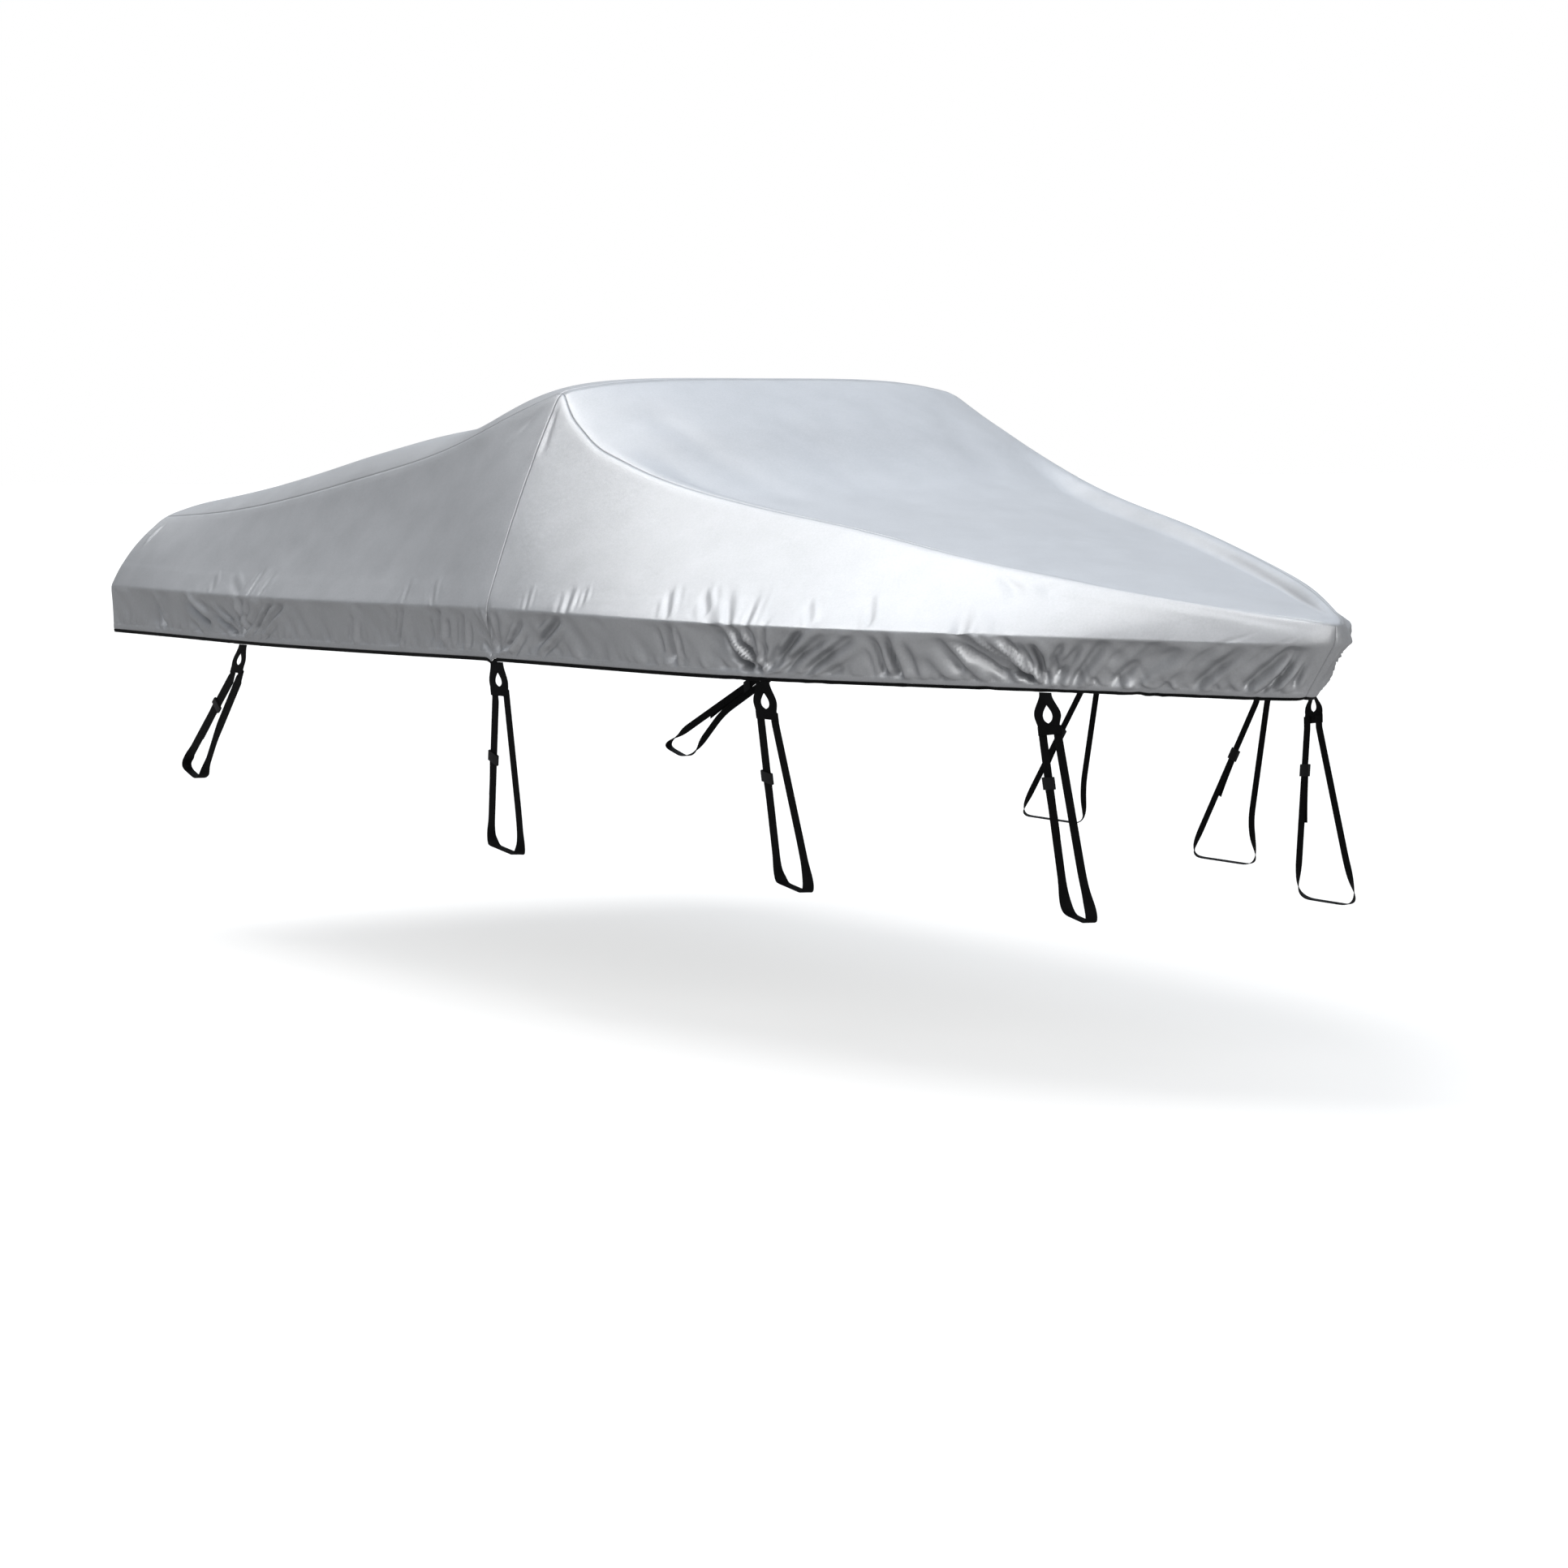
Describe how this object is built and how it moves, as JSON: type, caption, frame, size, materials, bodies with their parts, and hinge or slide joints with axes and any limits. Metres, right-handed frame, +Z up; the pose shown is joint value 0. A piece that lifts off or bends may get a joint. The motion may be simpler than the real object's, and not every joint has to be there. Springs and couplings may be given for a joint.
{
  "type": "boat cover",
  "caption": "Fitted cloth cover for an open motor boat, with a raised peak, a gathered skirt and hanging strap loops down both sides.",
  "frame": {"origin": "underside of the cloth at the middle of the peak arch", "axes": "+X forward to the bow, +Y to port, +Z up"},
  "size_m": [5.2054, 2.2803, 1.4186],
  "materials": {
    "silver_cloth": "satin silver coating on a fine weave",
    "hem_binding": "black woven edge binding",
    "black_webbing": "matt black webbing",
    "slide_plastic": "matt black moulded slide"
  },
  "bodies": {
    "root": {"top_fore": "silver_cloth", "top_aft": "silver_cloth", "side_fore_stbd": "silver_cloth", "side_fore_port": "silver_cloth", "side_aft_stbd": "silver_cloth", "side_aft_port": "silver_cloth", "stern_panel": "silver_cloth", "binding_stbd": "hem_binding", "binding_port": "hem_binding", "binding_stern": "hem_binding", "hanger_stbd_1": "black_webbing", "hanger_stbd_2": "black_webbing", "hanger_stbd_3": "black_webbing", "hanger_stbd_4": "black_webbing", "hanger_port_1": "black_webbing", "hanger_port_2": "black_webbing", "hanger_port_3": "black_webbing", "hanger_port_4": "black_webbing", "strap_stbd_1": "black_webbing", "strap_stbd_2": "black_webbing", "strap_stbd_3": "black_webbing", "strap_stbd_4": "black_webbing", "strap_port_1": "black_webbing", "strap_port_2": "black_webbing", "strap_port_3": "black_webbing", "strap_port_4": "black_webbing", "slide_stbd_1": "slide_plastic", "slide_stbd_2": "slide_plastic", "slide_stbd_3": "slide_plastic", "slide_stbd_4": "slide_plastic", "slide_port_1": "slide_plastic", "slide_port_2": "slide_plastic", "slide_port_3": "slide_plastic", "slide_port_4": "slide_plastic", "tail_stbd_1": "black_webbing", "tail_stbd_2": "black_webbing", "tail_stbd_3": "black_webbing", "tail_stbd_4": "black_webbing", "tail_port_1": "black_webbing", "tail_port_2": "black_webbing", "tail_port_3": "black_webbing", "tail_port_4": "black_webbing"}
  },
  "joints": []
}
